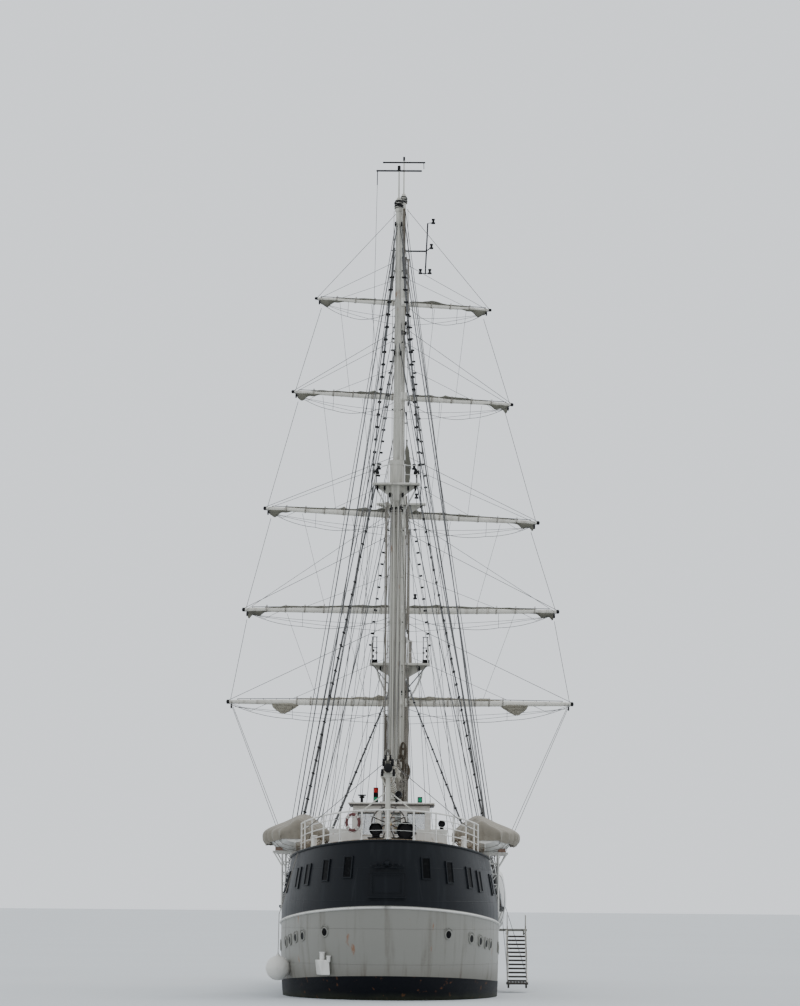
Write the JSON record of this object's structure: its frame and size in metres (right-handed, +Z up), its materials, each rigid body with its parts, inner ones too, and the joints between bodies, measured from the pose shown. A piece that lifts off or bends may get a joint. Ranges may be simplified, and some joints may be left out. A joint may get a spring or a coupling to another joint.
{
  "type": "tall ship, a two-masted brigantine as a 1:2 scale model",
  "caption": "Steel brigantine with square yards on its foremast, a boom on its mainmast, raised poop, covered boats, rudder and propeller.",
  "frame": {"origin": "on the centreline amidships at the waterline", "axes": "+Y forward to the bow, +X to starboard, +Z up"},
  "size_m": [8.05, 23.3826, 21.01],
  "materials": {
    "white_steel": "semi-gloss, weathered",
    "spar_paint": "satin",
    "slate_paint": "satin",
    "boot_paint": "matt",
    "deck_teak": "scrubbed",
    "sailcloth": "matt",
    "cover_canvas": "matt",
    "wire": "dull",
    "black_paint": "satin",
    "bronze": "satin",
    "buoy_paint": "matt",
    "varnish": "varnished",
    "tender_plastic": "gloss",
    "fender_vinyl": "matt"
  },
  "bodies": {
    "hull": {"hull_bottom": "boot_paint", "hull_topsides": "white_steel", "poop": "slate_paint", "forecastle": "white_steel", "bulwark_port": "white_steel", "bulwark_starboard": "white_steel", "main_deck": "deck_teak", "poop_deck": "deck_teak", "foremast": "spar_paint", "mainmast": "spar_paint", "bowsprit": "spar_paint", "fore_shrouds_port": "wire", "fore_shrouds_starboard": "wire", "main_shrouds_port": "wire", "main_shrouds_starboard": "wire", "fore_stay": "wire", "jib_stay": "wire", "flying_jib_stay": "wire", "main_stay": "wire", "stern_rail": "white_steel", "locker_port": "white_steel", "locker_starboard": "white_steel", "stern_vents": "black_paint", "wheel_stand": "white_steel", "lifebuoy": "buoy_paint", "wheelhouse": "white_steel", "wheelhouse_roof": "white_steel", "boat_port": "white_steel", "boat_cover_port": "cover_canvas", "boat_cradle_port": "white_steel", "boat_starboard": "white_steel", "boat_cover_starboard": "cover_canvas", "boat_cradle_starboard": "white_steel", "tender": "tender_plastic", "ball_fender": "fender_vinyl"},
    "rudder": {"rudder": "boot_paint"},
    "propeller": {"propeller": "bronze"},
    "steering_wheel": {"steering_wheel": "varnish"},
    "wheelhouse_door": {"wheelhouse_door": "varnish"},
    "boarding_ladder": {"boarding_ladder": "white_steel"},
    "locker_lid_port": {"locker_lid_port": "white_steel"},
    "locker_lid_starboard": {"locker_lid_starboard": "white_steel"},
    "main_boom": {"main_boom": "spar_paint", "main_sail": "sailcloth"},
    "course_yard": {"course_yard": "spar_paint", "course_sail": "sailcloth"},
    "lower_topsail_yard": {"lower_topsail_yard": "spar_paint", "lower_topsail_sail": "sailcloth"},
    "upper_topsail_yard": {"upper_topsail_yard": "spar_paint", "upper_topsail_sail": "sailcloth"},
    "topgallant_yard": {"topgallant_yard": "spar_paint", "topgallant_sail": "sailcloth"},
    "royal_yard": {"royal_yard": "spar_paint", "royal_sail": "sailcloth"}
  },
  "joints": [
    {"name": "course_brace", "type": "hinge", "parent": "hull", "child": "course_yard", "pos_m": [0, 4.5, 6.47], "axis": [0, 0, 1], "range_deg": [-35, 35]},
    {"name": "lower_topsail_brace", "type": "hinge", "parent": "hull", "child": "lower_topsail_yard", "pos_m": [0, 4.5, 8.625], "axis": [0, 0, 1], "range_deg": [-35, 35]},
    {"name": "upper_topsail_brace", "type": "hinge", "parent": "hull", "child": "upper_topsail_yard", "pos_m": [0, 4.5, 10.86], "axis": [0, 0, 1], "range_deg": [-35, 35]},
    {"name": "topgallant_brace", "type": "hinge", "parent": "hull", "child": "topgallant_yard", "pos_m": [0, 4.5, 13.64], "axis": [0, 0, 1], "range_deg": [-35, 35]},
    {"name": "royal_brace", "type": "hinge", "parent": "hull", "child": "royal_yard", "pos_m": [0, 4.5, 15.88], "axis": [0, 0, 1], "range_deg": [-35, 35]},
    {"name": "boom_swing", "type": "hinge", "parent": "hull", "child": "main_boom", "pos_m": [0, -2.74, 4.15], "axis": [0, 0, 1], "range_deg": [-28, 28]},
    {"name": "rudder_turn", "type": "hinge", "parent": "hull", "child": "rudder", "pos_m": [0, -8.225, -1], "axis": [0, 0, 1], "range_deg": [-35, 35]},
    {"name": "propeller_spin", "type": "hinge", "parent": "hull", "child": "propeller", "pos_m": [0, -7.675, -1.025], "axis": [0, 1, 0], "continuous": true},
    {"name": "wheel_turn", "type": "hinge", "parent": "hull", "child": "steering_wheel", "pos_m": [0, -8.275, 3.36], "axis": [0, 1, 0], "continuous": true},
    {"name": "door_swing", "type": "hinge", "parent": "hull", "child": "wheelhouse_door", "pos_m": [-0.7935, -4.21, 3.2], "axis": [0, 0, -1], "range_deg": [0, 95]},
    {"name": "ladder_hoist", "type": "hinge", "parent": "hull", "child": "boarding_ladder", "pos_m": [2.625, -0.6, 1.215], "axis": [-1, 0, 0], "range_deg": [0, 55]},
    {"name": "locker_lid_port_lift", "type": "hinge", "parent": "hull", "child": "locker_lid_port", "pos_m": [-0.8375, -8.175, 3.2204], "axis": [-1, 0, 0], "range_deg": [0, 85]},
    {"name": "locker_lid_starboard_lift", "type": "hinge", "parent": "hull", "child": "locker_lid_starboard", "pos_m": [0.8375, -8.175, 3.2204], "axis": [-1, 0, 0], "range_deg": [0, 85]}
  ],
  "couplings": [
    {"joint": "lower_topsail_brace", "follows": "course_brace", "ratio": 1},
    {"joint": "upper_topsail_brace", "follows": "course_brace", "ratio": 1},
    {"joint": "topgallant_brace", "follows": "course_brace", "ratio": 1},
    {"joint": "royal_brace", "follows": "course_brace", "ratio": 1}
  ]
}
